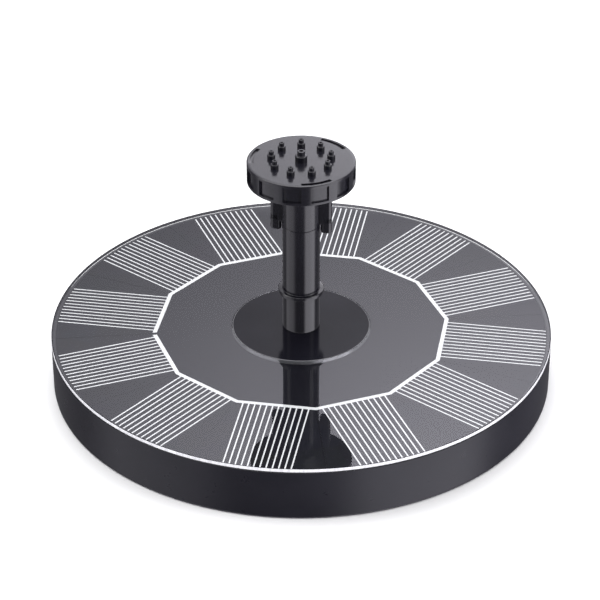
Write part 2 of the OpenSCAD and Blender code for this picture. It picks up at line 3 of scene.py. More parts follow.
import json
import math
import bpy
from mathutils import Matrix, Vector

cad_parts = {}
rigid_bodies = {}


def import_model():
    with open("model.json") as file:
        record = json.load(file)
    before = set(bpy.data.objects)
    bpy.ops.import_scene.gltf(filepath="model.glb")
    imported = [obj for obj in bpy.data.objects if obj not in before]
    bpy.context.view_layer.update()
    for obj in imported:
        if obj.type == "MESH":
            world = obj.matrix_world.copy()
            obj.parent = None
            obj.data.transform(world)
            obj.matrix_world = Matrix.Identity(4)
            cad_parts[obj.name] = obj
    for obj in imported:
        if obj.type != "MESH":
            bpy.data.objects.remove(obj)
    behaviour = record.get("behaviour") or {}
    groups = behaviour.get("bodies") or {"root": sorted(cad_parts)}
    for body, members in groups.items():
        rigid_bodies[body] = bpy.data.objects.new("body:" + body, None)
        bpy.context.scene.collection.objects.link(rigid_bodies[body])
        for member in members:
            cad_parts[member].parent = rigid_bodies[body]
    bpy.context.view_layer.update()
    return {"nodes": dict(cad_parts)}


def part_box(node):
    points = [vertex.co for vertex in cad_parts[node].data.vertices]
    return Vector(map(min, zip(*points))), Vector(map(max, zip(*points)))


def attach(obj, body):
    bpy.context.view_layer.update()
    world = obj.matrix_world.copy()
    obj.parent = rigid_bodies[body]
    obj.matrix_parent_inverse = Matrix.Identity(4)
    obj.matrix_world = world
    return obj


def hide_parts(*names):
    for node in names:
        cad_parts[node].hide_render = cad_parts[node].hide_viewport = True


bl_info = {
    "name": "Solar Fountain Pump",
    "version": (1, 0, 0),
    "blender": (4, 5, 0),
    "location": "3D View > Sidebar > Fountain",
    "description": "Builds a floating solar fountain pump with its studio",
    "category": "Object",
}

import bpy
from bpy.props import (
    FloatProperty,
    FloatVectorProperty,
    IntProperty,
    PointerProperty,
)
from mathutils import Vector

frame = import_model()
MM = 0.001


def span(node, axis):
    """Lowest and highest value of a CAD node along one axis, in millimetres."""
    low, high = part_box(node)
    return low[axis] / MM, high[axis] / MM


# Sizes that several pieces share, in millimetres
TOP_SPIGOT = 8.0
CAP_HEIGHT = 6.8
TUBE_RADIUS = 5.95
SPIGOT_RADIUS = 5.1
SOCKET_RADIUS = 5.15
WALL = 2.2
PLATE = 1.4
WELL_RADIUS = 30.0
WELL_WALL = 1.6
HUB_OPENING = 22.15
PEG_RING = 9.4

# Screws of the ring plate and of the pump: how many, how far out, the first one's turn
BASE_SCREWS, BASE_SCREW_OUT, BASE_SCREW_TURN = 6, 54.0, 30.0
WELL_SCREWS, WELL_SCREW_OUT, WELL_SCREW_TURN = 4, 26.3, 45.0

# Levels that several pieces share, in millimetres
PANEL_TOP = span("panel_cover", 2)[1]
DECK = span("backing_board", 2)[0]
SHOULDER = span("riser_tube", 2)[1] - TOP_SPIGOT
BARREL_FOOT = SHOULDER + 0.02
RIM_TOP = span("nozzle_holder", 2)[1]
CAP_LOW = span("spray_cap", 2)[0]
CAP_TOP = CAP_LOW + CAP_HEIGHT


# ------------------------------------------------------------------ settings


class FloatSettings(bpy.types.PropertyGroup):
    """Sizes of the float body and its panel cover."""

    foot_round: FloatProperty(
        name="Foot rounding",
        description="Radius on the bottom edge of the wall",
        default=0.9 * MM,
        min=0.1 * MM,
        unit="LENGTH",
    )
    shadow_gap: FloatProperty(
        name="Shadow gap",
        description="Depth of the fine gap under the panel cover",
        default=0.45 * MM,
        min=0.0,
        unit="LENGTH",
    )
    cover_round: FloatProperty(
        name="Cover edge rounding",
        description="Radius on the top edge of the clear cover",
        default=0.22 * MM,
        min=0.01 * MM,
        unit="LENGTH",
    )
    facets: IntProperty(
        name="Facets around",
        description="Faces around the big round pieces",
        default=288,
        min=96,
        max=720,
    )


class NozzleSettings(bpy.types.PropertyGroup):
    """Sizes of the riser tube, holder and spray cap."""

    edge_round: FloatProperty(
        name="Edge rounding",
        description="Radius on the moulded edges of the nozzle pieces",
        default=0.25 * MM,
        min=0.02 * MM,
        unit="LENGTH",
    )
    pocket_depth: FloatProperty(
        name="Pocket depth",
        description="Depth of the grip pockets around the spray cap",
        default=0.7 * MM,
        min=0.1 * MM,
        unit="LENGTH",
    )
    slot_depth: FloatProperty(
        name="Arc slot depth",
        description="Depth of the three arc slots in the cap's top",
        default=0.6 * MM,
        min=0.1 * MM,
        unit="LENGTH",
    )
    pegs: IntProperty(
        name="Jet pegs",
        description="Jet pegs in the ring on the spray cap",
        default=9,
        min=3,
        max=16,
    )


class FinishSettings(bpy.types.PropertyGroup):
    """Colours of the main finishes."""

    shell_black: FloatVectorProperty(
        name="Float plastic",
        description="Colour of the moulded float",
        subtype="COLOR",
        size=3,
        default=(0.0080, 0.0077, 0.0115),
    )
    nozzle_black: FloatVectorProperty(
        name="Nozzle plastic",
        description="Colour of the tube, holder and cap",
        subtype="COLOR",
        size=3,
        default=(0.0062, 0.0060, 0.0092),
    )
    cell_black: FloatVectorProperty(
        name="Cell black",
        description="Colour of the solar cells",
        subtype="COLOR",
        size=3,
        default=(0.0050, 0.0048, 0.0080),
    )
    print_silver: FloatVectorProperty(
        name="Contact silver",
        description="Colour of the contact lines and the ribbon",
        subtype="COLOR",
        size=3,
        default=(0.74, 0.74, 0.75),
    )


class StudioSettings(bpy.types.PropertyGroup):
    """Camera and lights."""

    distance: FloatProperty(
        name="Camera distance",
        description="From the camera to the centre of the underside",
        default=0.76024,
        unit="LENGTH",
    )
    height_angle: FloatProperty(
        name="Camera height angle",
        description="Angle of the camera above the table",
        default=math.radians(33.4),
        subtype="ANGLE",
    )
    aim_angle: FloatProperty(
        name="Camera aim",
        description="How far above the centre of the underside the camera aims",
        default=0.0301193,
        subtype="ANGLE",
    )
    lens: FloatProperty(
        name="Lens", description="Focal length on a 36 mm sensor, in mm", default=140.2
    )
    key_watts: FloatProperty(
        name="Key light", description="Power of the right softbox", default=1.6
    )
    fill_watts: FloatProperty(
        name="Fill light", description="Power of the left softbox", default=1.0
    )
    top_watts: FloatProperty(
        name="Top light", description="Power of the overhead softbox", default=20.0
    )


# ------------------------------------------------------------------ node maths


class Wire:
    """A number on its way between nodes; arithmetic on it adds Math nodes."""

    def __init__(self, finish, socket):
        self.finish = finish
        self.socket = socket

    def _math(self, operation, *values):
        return self.finish.node(
            "ShaderNodeMath", {"operation": operation}, dict(enumerate(values))
        )

    def __add__(self, other):
        return self._math("ADD", self, other)

    __radd__ = __add__

    def __sub__(self, other):
        return self._math("SUBTRACT", self, other)

    def __rsub__(self, other):
        return self._math("SUBTRACT", other, self)

    def __mul__(self, other):
        return self._math("MULTIPLY", self, other)

    __rmul__ = __mul__

    def __truediv__(self, other):
        return self._math("DIVIDE", self, other)

    def __rtruediv__(self, other):
        return self._math("DIVIDE", other, self)

    def __pow__(self, other):
        return self._math("POWER", self, other)

    def clamped(self):
        """Held between 0 and 1."""
        return self.finish.node(
            "ShaderNodeClamp", {}, {"Value": self, "Min": 0.0, "Max": 1.0}
        )

    def ramp(self, low, high):
        """0 at low, 1 at high, smooth in between."""
        return self.finish.node(
            "ShaderNodeMapRange",
            {"interpolation_type": "SMOOTHSTEP"},
            {"Value": self, "From Min": low, "From Max": high},
        )


class Finish:
    """A material or a world, built node by node."""

    def __init__(self, name, world=False):
        block = bpy.data.worlds if world else bpy.data.materials
        self.block = block.new(name)
        self.block.use_nodes = True
        self.tree = self.block.node_tree
        self.tree.nodes.clear()
        self.end = self.tree.nodes.new(
            "ShaderNodeOutputWorld" if world else "ShaderNodeOutputMaterial"
        )
        self.place = None

    def feed(self, socket, value):
        """Links a wire to a socket, or sets the socket to a plain value."""
        if isinstance(value, Wire):
            self.tree.links.new(value.socket, socket)
        elif socket.type == "RGBA":
            socket.default_value = (*value[:3], 1.0)
        else:
            socket.default_value = value

    def node(self, kind, settings=None, sockets=None, out=0):
        """Adds a node: its settings first, then its sockets; gives one output."""
        made = self.tree.nodes.new(kind)
        for key, value in (settings or {}).items():
            setattr(made, key, value)
        for key, value in (sockets or {}).items():
            self.feed(made.inputs[key], value)
        return Wire(self, made.outputs[out])

    def where(self):
        """Object coordinates."""
        if self.place is None:
            self.place = self.node("ShaderNodeTexCoord", out="Object")
        return self.place

    def axes(self, vector=None):
        """The x, y and z of a vector, object coordinates unless given."""
        split = self.tree.nodes.new("ShaderNodeSeparateXYZ")
        self.tree.links.new((vector or self.where()).socket, split.inputs[0])
        return tuple(Wire(self, s) for s in split.outputs)

    def noise(self, scale, detail=2.0, rough=0.5, stretch=None):
        """Cloudy noise from 0 to 1."""
        at = self.where()
        if stretch:
            at = self.node("ShaderNodeMapping", {}, {"Vector": at, "Scale": stretch})
        return self.node(
            "ShaderNodeTexNoise",
            {},
            {"Vector": at, "Scale": scale, "Detail": detail, "Roughness": rough},
        )

    def mix(self, factor, a, b):
        """Colour a turning to colour b."""
        made = self.tree.nodes.new("ShaderNodeMix")
        made.data_type = "RGBA"
        for index, value in ((0, factor), (6, a), (7, b)):
            self.feed(made.inputs[index], value)
        return Wire(self, made.outputs[2])

    def bump(self, height, depth, under=None):
        """A bump, depth in metres for height 0 to 1."""
        sockets = {"Height": height, "Strength": 1.0, "Distance": depth}
        if under is not None:
            sockets["Normal"] = under
        return self.node("ShaderNodeBump", {}, sockets)

    def shine(self, specular=0.5, **sockets):
        """A Principled shader; the names of its sockets use _ for spaces."""
        named = {key.replace("_", " "): value for key, value in sockets.items()}
        named["Specular IOR Level"] = specular
        return self.node("ShaderNodeBsdfPrincipled", {}, named)

    def done(self, shader):
        """Ends the tree with a shader; gives the material or world."""
        self.tree.links.new(shader.socket, self.end.inputs["Surface"])
        return self.block


# ------------------------------------------------------------------ finishes


def moulded_plastic(name, colour, rough, grain, specular=0.5, wear=0.25, rim=None):
    """Moulded plastic: a fine spark-eroded grain, faint flow clouds, rubbed spots.

    A disc's rim, at a radius in millimetres, can get a painted highlight: a fine pale
    line.
    """
    f = Finish(name)
    clouds = f.noise(38.0, 3.0)
    rubbed = f.noise(210.0, 4.0, 0.65).ramp(0.56, 0.74)
    fine = f.noise(5200.0, 1.0)
    dust = f.noise(1500.0, 2.0, 0.7).ramp(0.70, 0.80)
    light = tuple(min(1.0, c * 1.9 + 0.004) for c in colour)
    tint = f.mix(clouds.ramp(0.3, 0.75) * 0.35, colour, light)
    tint = f.mix(dust * (0.10 * wear), tint, (0.30, 0.29, 0.28))
    if rim is not None:
        # Painted highlight: a pale line just inside the rim stands in for light caught
        # by the disc's rounded edge.
        x, y, z = f.axes()
        inner, outer = (rim - 0.24) * MM, (rim - 0.16) * MM
        line = (x * x + y * y).ramp(inner**2, outer**2)
        tint = f.mix(line, tint, (0.17, 0.17, 0.18))
    roughness = (rough - 0.05) + clouds * 0.07 + fine * 0.04 - rubbed * (0.10 * wear)
    normal = f.bump(fine, grain)
    normal = f.bump(f.noise(24.0, 1.0), 0.00004, normal)
    return f.done(
        f.shine(
            Base_Color=tint, Roughness=roughness, Normal=normal, specular=specular
        )
    )


def clear_sheet(name):
    """Clear glossy sheet over the cells, a mirror at a low angle."""
    low, power, strength = 0.060, 3.6, 0.55
    f = Finish(name)
    facing = f.node("ShaderNodeLayerWeight", {}, {"Blend": 0.5}, out="Facing")
    gloss = (facing**power * strength + low).clamped()
    ripple = f.bump(f.noise(16.0, 1.0), 0.00002)
    mirror = f.node(
        "ShaderNodeBsdfGlossy",
        {},
        {"Color": (0.97, 0.97, 1.0), "Roughness": 0.015, "Normal": ripple},
    )
    through = f.node("ShaderNodeBsdfTransparent", {}, {"Color": (0.96, 0.97, 0.97)})
    return f.done(
        f.node("ShaderNodeMixShader", {}, {0: gloss, 1: through, 2: mirror})
    )


def see_through(name):
    """The bonded underside of the clear sheet."""
    f = Finish(name)
    return f.done(f.node("ShaderNodeBsdfTransparent", {}, {"Color": (1.0, 1.0, 1.0)}))


def cut_edge(name):
    """The bright sawn edge of the clear sheet."""
    f = Finish(name)
    saw = f.noise(900.0, 2.0, 0.6, (1.0, 1.0, 0.15))
    tint = f.mix(saw.ramp(0.25, 0.8), (0.66, 0.66, 0.69), (0.86, 0.86, 0.89))
    return f.done(
        f.shine(
            Base_Color=tint,
            Roughness=0.22 + saw * 0.12,
            Normal=f.bump(saw, 0.00003),
            specular=0.3,
        )
    )


def silicon_cell(name, colour):
    """Near-black silicon with a faint blue grain."""
    f = Finish(name)
    grain = f.noise(260.0, 3.0, 0.6)
    patch = f.node(
        "ShaderNodeTexVoronoi",
        {"feature": "F1"},
        {"Vector": f.where(), "Scale": 70.0},
        out="Color",
    )
    tint = f.mix(0.002, colour, patch)
    tint = f.mix(grain.ramp(0.35, 0.75) * 0.5, tint, tuple(1.7 * c for c in colour))
    return f.done(
        f.shine(
            Base_Color=tint,
            Roughness=0.40 + grain * 0.06,
            Normal=f.bump(grain, 0.000001),
            specular=0.05,
        )
    )


def backing_film(name, colour):
    """Black film on the board inside the ribbon."""
    f = Finish(name)
    weave = f.noise(1300.0, 1.0)
    tint = f.mix(weave.ramp(0.3, 0.8) * 0.4, colour, tuple(1.5 * c for c in colour))
    return f.done(
        f.shine(
            Base_Color=tint,
            Roughness=0.45 + weave * 0.05,
            Normal=f.bump(weave, 0.000001),
            specular=0.05,
        )
    )


def silver_print(name, colour):
    """Screen-printed silver with slightly uneven density."""
    f = Finish(name)
    density = f.noise(700.0, 3.0, 0.6)
    thin = tuple(0.72 * c for c in colour)
    tint = f.mix(density.ramp(0.3, 0.7) * 0.35, colour, thin)
    return f.done(
        f.shine(
            Base_Color=tint,
            Roughness=0.5 + density * 0.15,
            Metallic=0.15,
            Normal=f.bump(density, 0.00001),
            specular=0.4,
        )
    )


def brushed_metal(name, colour, rough, grain):
    """Drawn or turned metal with fine streaks."""
    f = Finish(name)
    streak = f.noise(grain, 2.0, 0.5, (1.0, 1.0, 0.08))
    tint = f.mix(streak.ramp(0.2, 0.8) * 0.4, colour, tuple(0.6 * c for c in colour))
    return f.done(
        f.shine(
            Base_Color=tint,
            Metallic=1.0,
            Roughness=rough - 0.05 + streak * 0.15,
            Normal=f.bump(streak, 0.00001),
        )
    )


def laminated_steel(name):
    """A stack of thin steel sheets."""
    f = Finish(name)
    x, y, z = f.axes()
    thick = 0.0002
    sheet = f.node("ShaderNodeMath", {"operation": "PINGPONG"}, {0: z, 1: thick})
    groove = (sheet / thick).ramp(0.0, 0.25)
    tint = f.mix(groove, (0.10, 0.10, 0.11), (0.48, 0.49, 0.52))
    rust = f.noise(420.0, 3.0, 0.6).ramp(0.62, 0.75) * 0.25
    tint = f.mix(rust, tint, (0.22, 0.11, 0.06))
    return f.done(
        f.shine(
            Base_Color=tint,
            Metallic=0.9,
            Roughness=0.42,
            Normal=f.bump(groove, 0.00004),
        )
    )


def wound_copper(name):
    """Rows of enamelled wire across the coil, with painted shade in the valleys between
    turns.
    """
    f = Finish(name)
    x, y, z = f.axes()
    wire = 0.00013
    turn = f.node("ShaderNodeMath", {"operation": "PINGPONG"}, {0: y, 1: wire})
    crown = (turn / wire).clamped()
    # Painted shade: the colour darkens from each wire's crown down to the valleys
    # between turns.
    tint = f.mix(crown.ramp(0.0, 0.6), (0.16, 0.05, 0.02), (0.78, 0.36, 0.15))
    return f.done(
        f.shine(
            Base_Color=tint,
            Metallic=0.8,
            Roughness=0.3,
            Coat_Weight=0.5,
            Normal=f.bump(crown, 0.00008),
        )
    )


def open_foam(name, colour, scale=2200.0):
    """Foam with open cells, the pores painted darker as the shade inside them."""
    f = Finish(name)
    cell = f.node(
        "ShaderNodeTexVoronoi",
        {"feature": "F1"},
        {"Vector": f.where(), "Scale": scale},
        out="Distance",
    )
    # Painted shade: the colour darkens towards the middle of each pore.
    tint = f.mix(cell.ramp(0.1, 0.6), tuple(0.4 * c for c in colour), colour)
    return f.done(
        f.shine(
            Base_Color=tint,
            Roughness=0.92,
            Normal=f.bump(cell, 0.0003),
            specular=0.15,
        )
    )


def glazed(name, colour, rough, depth=0.00001):
    """Smooth hard material with slight shade changes: ceramic, resin, enamel."""
    f = Finish(name)
    cloud = f.noise(320.0, 2.0)
    tint = f.mix(cloud.ramp(0.3, 0.8) * 0.3, colour, tuple(0.75 * c for c in colour))
    return f.done(
        f.shine(
            Base_Color=tint,
            Roughness=rough + cloud * 0.05,
            Normal=f.bump(cloud, depth),
        )
    )


def soft_rubber(name, colour):
    """Matt rubber with bloom."""
    f = Finish(name)
    bloom = f.noise(800.0, 3.0, 0.6)
    tint = f.mix(bloom.ramp(0.45, 0.8) * 0.3, colour, (0.09, 0.09, 0.09))
    return f.done(
        f.shine(
            Base_Color=tint,
            Roughness=0.75 + bloom * 0.1,
            Normal=f.bump(bloom, 0.00002),
            specular=0.3,
        )
    )


def circuit_laminate(name):
    """Green board with tracks under the lacquer."""
    f = Finish(name)
    track = f.node(
        "ShaderNodeTexBrick",
        {"offset": 0.5},
        {
            "Vector": f.where(),
            "Scale": 420.0,
            "Mortar Size": 0.06,
            "Color1": (1.0, 1.0, 1.0),
            "Color2": (1.0, 1.0, 1.0),
            "Mortar": (0.0, 0.0, 0.0),
        },
        out="Fac",
    )
    tint = f.mix(track, (0.010, 0.070, 0.035), (0.020, 0.160, 0.070))
    return f.done(
        f.shine(
            Base_Color=tint,
            Roughness=0.28,
            Coat_Weight=0.4,
            Normal=f.bump(track, 0.00003),
        )
    )


# ------------------------------------------------------------------ shaping


def start_clean():
    """Object mode with nothing selected."""
    if bpy.context.object and bpy.context.object.mode != "OBJECT":
        bpy.ops.object.mode_set(mode="OBJECT")
    bpy.ops.object.select_all(action="DESELECT")


def take(piece, *others):
    """Selects just these, with the first one active."""
    start_clean()
    for each in (piece, *others):
        each.select_set(True)
    bpy.context.view_layer.objects.active = piece


def rounded(outline, steps=4):
    """Corners (radius, height, rounding) in millimetres to an outline in metres."""
    points = []
    count = len(outline)
    for i, corner in enumerate(outline):
        at = Vector(corner[:2])
        size = corner[2] if len(corner) > 2 else 0.0
        before = Vector(outline[i - 1][:2]) - at
        after = Vector(outline[(i + 1) % count][:2]) - at
        if size <= 0.0 or before.length < 1e-9 or after.length < 1e-9:
            points.append(at)
            continue
        half = before.angle(after) / 2
        reach = min(size / math.tan(half), 0.49 * before.length, 0.49 * after.length)
        size = reach * math.tan(half)
        middle = (before.normalized() + after.normalized()).normalized()
        hub = at + middle * (size / math.sin(half))
        first = at + before.normalized() * reach - hub
        last = at + after.normalized() * reach - hub
        turn = first.angle_signed(last)
        for s in range(steps + 1):
            a = -turn * s / steps
            points.append(
                hub
                + Vector(
                    (
                        first.x * math.cos(a) - first.y * math.sin(a),
                        first.x * math.sin(a) + first.y * math.cos(a),
                    )
                )
            )
    return [(p.x * MM, p.y * MM) for p in points]


def turned(name, outline, facets=128, out=0.0, filled=False):
    """A circle drawn out along an outline, as on a lathe, its axis out along X."""
    path = list(outline) if filled else list(outline) + [outline[0]]
    axis = out * MM
    start_clean()
    bpy.ops.mesh.primitive_circle_add(
        vertices=facets,
        radius=path[0][0],
        fill_type="NOTHING",
        location=(axis, 0.0, path[0][1]),
    )
    piece = bpy.context.object
    piece.name = piece.data.name = name
    bpy.ops.object.transform_apply(location=True, rotation=True, scale=True)
    bpy.ops.object.mode_set(mode="EDIT")
    bpy.ops.mesh.select_mode(type="VERT")
    bpy.ops.mesh.select_all(action="SELECT")
    for (r0, z0), (r1, z1) in zip(path, path[1:]):
        bpy.ops.mesh.extrude_region_move(
            TRANSFORM_OT_translate={"value": (0.0, 0.0, z1 - z0)}
        )
        bpy.ops.transform.resize(
            value=(r1 / r0, r1 / r0, 1.0), center_override=(axis, 0.0, 0.0)
        )
    bpy.ops.mesh.select_all(action="SELECT")
    bpy.ops.mesh.remove_doubles(threshold=2e-6)
    if filled:
        bpy.ops.mesh.fill_holes(sides=0)
    bpy.ops.mesh.select_all(action="SELECT")
    bpy.ops.mesh.normals_make_consistent(inside=False)
    bpy.ops.object.mode_set(mode="OBJECT")
    if len(piece.data.polygons) < facets * (len(path) - 2):
        raise RuntimeError(name + " was not drawn out")
    return piece


def block(name, low, high, rounding, steps=2):
    """A block between two corners, in millimetres, with its edges rounded."""
    start_clean()
    middle = [(a + b) / 2 * MM for a, b in zip(low, high)]
    bpy.ops.mesh.primitive_cube_add(size=1.0, location=middle)
    piece = bpy.context.object
    piece.name = piece.data.name = name
    piece.scale = [(b - a) * MM for a, b in zip(low, high)]
    bpy.ops.object.transform_apply(location=True, rotation=True, scale=True)
    bpy.ops.object.mode_set(mode="EDIT")
    bpy.ops.mesh.select_all(action="SELECT")
    bpy.ops.mesh.bevel(offset=rounding * MM, segments=steps, affect="EDGES")
    bpy.ops.object.mode_set(mode="OBJECT")
    return piece


def spin(piece, degrees):
    """Turns a piece about the float's axis."""
    take(piece)
    bpy.ops.object.mode_set(mode="EDIT")
    bpy.ops.mesh.select_all(action="SELECT")
    bpy.ops.transform.rotate(
        value=-math.radians(degrees),
        orient_axis="Z",
        center_override=(0.0, 0.0, 0.0),
    )
    bpy.ops.object.mode_set(mode="OBJECT")


def ring_of(piece, count, first=0.0):
    """A piece turned to its place and its copies round the axis, each its own mesh."""
    if first:
        spin(piece, first)
    made = [piece]
    step = 360.0 / count
    for i in range(1, count):
        take(piece)
        bpy.ops.object.duplicate(linked=False)
        made.append(bpy.context.object)
        spin(made[-1], i * step)
    return made


def join(piece, *others):
    """Makes several pieces one."""
    take(piece, *others)
    bpy.ops.object.join()
    return piece


def pick_faces(piece, wanted):
    """Edit mode with just the faces whose middle and normal pass the test."""
    take(piece)
    bpy.ops.object.mode_set(mode="EDIT")
    bpy.ops.mesh.select_mode(type="FACE")
    bpy.ops.mesh.select_all(action="DESELECT")
    bpy.ops.object.mode_set(mode="OBJECT")
    found = 0
    for face in piece.data.polygons:
        face.select = bool(wanted(face.center, face.normal))
        found += face.select
    if not found:
        raise RuntimeError("no faces found on " + piece.name)
    bpy.ops.object.mode_set(mode="EDIT")


def round_edges(piece, width, angle, steps=2):
    """Rounds the edges sharper than an angle, by a width in millimetres."""
    take(piece)
    edge = piece.modifiers.new("edge rounding", "BEVEL")
    edge.width = width * MM
    edge.segments = steps
    edge.limit_method = "ANGLE"
    edge.angle_limit = math.radians(angle)
    bpy.ops.object.modifier_apply(modifier=edge.name)


def combine(piece, other, operation):
    """Adds another piece to this one (UNION) or cuts it out (DIFFERENCE)."""
    take(piece)
    step = piece.modifiers.new("combine", "BOOLEAN")
    step.operation = operation
    step.solver = "EXACT"
    step.object = other
    bpy.ops.object.modifier_apply(modifier=step.name)
    bpy.data.objects.remove(other)


def slide(piece, move, wanted):
    """Moves the corners that pass the test, by millimetres."""
    take(piece)
    bpy.ops.object.mode_set(mode="EDIT")
    bpy.ops.mesh.select_mode(type="VERT")
    bpy.ops.mesh.select_all(action="DESELECT")
    bpy.ops.object.mode_set(mode="OBJECT")
    found = 0
    for corner in piece.data.vertices:
        corner.select = bool(wanted(corner.co))
        found += corner.select
    if not found:
        raise RuntimeError("no corners found on " + piece.name)
    bpy.ops.object.mode_set(mode="EDIT")
    bpy.ops.transform.translate(value=[step * MM for step in move])
    bpy.ops.object.mode_set(mode="OBJECT")


def polish(piece, angle=32.0):
    """Smooth shading that keeps the wide faces true beside their rounded edges."""
    take(piece)
    bpy.ops.object.shade_smooth_by_angle(angle=math.radians(angle))
    even = piece.modifiers.new("even shading", "WEIGHTED_NORMAL")
    even.mode = "FACE_AREA"
    even.weight = 100
    even.keep_sharp = True
    bpy.ops.object.modifier_apply(modifier=even.name)


def coat(piece, *materials):
    """Gives a piece its materials, in place of those it has."""
    piece.data.materials.clear()
    for material in materials:
        piece.data.materials.append(material)


def paint_faces(piece, number, wanted):
    """Gives the faces that pass the test one of the piece's materials."""
    pick_faces(piece, wanted)
    piece.active_material_index = number
    bpy.ops.object.material_slot_assign()
    bpy.ops.object.mode_set(mode="OBJECT")


def fit(piece, body, slot, *nodes):
    """Puts a finished piece on its body, in place of its CAD nodes."""
    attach(piece, body)
    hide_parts(*nodes)


def near_angle(point, first, step, reach):
    """True within reach of any of the angles first, first + step and so on."""
    angle = math.degrees(math.atan2(point.y, point.x))
    return abs((angle - first + step / 2) % step - step / 2) < reach


def radius_of(point):
    """Distance from the float's axis, in millimetres."""
    return math.hypot(point.x, point.y) / MM


def outward(at, normal):
    """True where a face looks away from the float's axis."""
    return normal.x * at.x + normal.y * at.y > 0.0


# ------------------------------------------------------------------ the float


class FOUNTAIN_OT_float_body(bpy.types.Operator):
    """Moulded float with its wall, deck, pump well and screw bosses"""

    bl_idname = "fountain.float_body"
    bl_label = "Float body"
    bl_options = {"REGISTER", "UNDO"}

    def execute(self, context):
        scene = context.scene
        sizes = scene.fountain_float
        radius = span("float_shell", 0)[1]
        top = span("float_shell", 2)[1]
        under = DECK - PLATE
        boss_top = under + 0.3
        gap = sizes.shadow_gap / MM
        foot = sizes.foot_round / MM
        body = turned(
            "float_body",
            rounded(
                [
                    (radius - WALL, 0.0, 0.3),
                    (radius, 0.0, foot),
                    (radius, top - 0.45, 0.15),
                    (radius - gap, top - 0.3, 0.1),
                    (radius - gap, top, 0.05),
                    (radius - 1.3, top, 0.1),
                    (radius - 1.3, DECK),
                    (5.2, DECK),
                    (5.2, under),
                    (WELL_RADIUS, under, 0.5),
                    (WELL_RADIUS, 0.0, 0.35),
                    (WELL_RADIUS + WELL_WALL, 0.0, 0.35),
                    (WELL_RADIUS + WELL_WALL, under),
                    (radius - WALL, under),
                ]
            ),
            facets=sizes.facets,
        )
        ring_boss = turned(
            "ring_boss",
            rounded([(1.3, 3.6), (3.5, 3.6, 0.3), (3.5, boss_top), (1.3, boss_top)]),
            32,
            BASE_SCREW_OUT,
        )
        well_boss = turned(
            "well_boss",
            rounded([(1.05, 9.6), (2.7, 9.6, 0.25), (2.7, boss_top), (1.05, boss_top)]),
            32,
            WELL_SCREW_OUT,
        )
        join(
            body,
            *ring_of(ring_boss, BASE_SCREWS, BASE_SCREW_TURN),
            *ring_of(well_boss, WELL_SCREWS, WELL_SCREW_TURN),
        )
        polish(body)
        look = scene.fountain_finish
        coat(
            body,
            moulded_plastic(
                "float_moulding",
                look.shell_black,
                rough=0.30,
                grain=0.000008,
                specular=0.21,
                wear=0.5,
            ),
        )
        fit(body, "float", "float_plastic", "float_shell")
        return {"FINISHED"}


class FOUNTAIN_OT_underside(bpy.types.Operator):
    """Ring plate that closes the float, with its countersunk screws"""

    bl_idname = "fountain.underside"
    bl_label = "Ring plate and screws"
    bl_options = {"REGISTER", "UNDO"}

    def execute(self, context):
        scene = context.scene
        sizes = scene.fountain_float
        inner = WELL_RADIUS + WELL_WALL + 0.1
        outer = span("float_base", 0)[1]
        low = span("float_base", 2)[0]
        high = low + 1.8
        plate = turned(
            "ring_plate",
            rounded(
                [
                    (inner, low, 0.3),
                    (38.0, low),
                    (38.4, low + 0.35),
                    (39.4, low + 0.35),
                    (39.8, low),
                    (70.0, low),
                    (70.4, low + 0.35),
                    (71.4, low + 0.35),
                    (71.8, low),
                    (outer, low, 0.3),
                    (outer, high, 0.2),
                    (inner, high, 0.2),
                ]
            ),
            facets=sizes.facets,
        )
        pad = turned(
            "pad",
            rounded(
                [(1.5, high - 0.3), (4.5, high - 0.3), (4.5, 3.6, 0.3), (1.5, 3.6)]
            ),
            40,
            BASE_SCREW_OUT,
        )
        sink = turned(
            "sink",
            rounded(
                [
                    (0.2, -1.0),
                    (2.6, -1.0),
                    (2.6, 1.9),
                    (1.5, 1.9),
                    (1.5, 5.0),
                    (0.2, 5.0),
                ]
            ),
            40,
            BASE_SCREW_OUT,
            filled=True,
        )
        sinks = ring_of(sink, BASE_SCREWS, BASE_SCREW_TURN)
        combine(plate, join(*sinks), "DIFFERENCE")
        join(plate, *ring_of(pad, BASE_SCREWS, BASE_SCREW_TURN))
        polish(plate)
        look = scene.fountain_finish
        coat(
            plate,
            moulded_plastic(
                "base_moulding",
                look.shell_black,
                rough=0.5,
                grain=0.00002,
                specular=0.3,
                wear=0.8,
            ),
        )
        fit(plate, "float", "base_plastic", "float_base")

        head = turned(
            "base_screw",
            rounded(
                [
                    (0.2, 0.6),
                    (1.6, 0.65, 0.4),
                    (2.3, 1.05, 0.25),
                    (2.3, 1.9, 0.1),
                    (1.25, 1.9),
                    (1.25, 9.4, 0.2),
                    (0.2, 9.9),
                ]
            ),
            40,
            BASE_SCREW_OUT,
            filled=True,
        )
        for long, wide in ((1.4, 0.27), (0.27, 1.4)):
            first = (BASE_SCREW_OUT - long, -wide, 0.0)
            last = (BASE_SCREW_OUT + long, wide, 1.25)
            combine(head, block("cross", first, last, 0.08, 1), "DIFFERENCE")
        screws = join(*ring_of(head, BASE_SCREWS, BASE_SCREW_TURN))
        polish(screws)
        steel = brushed_metal("turned_steel", (0.62, 0.62, 0.64), 0.28, grain=2400.0)
        coat(screws, steel)
        fit(screws, "float", "steel_screw", "base_screws")
        return {"FINISHED"}


# ------------------------------------------------------------------ the panel


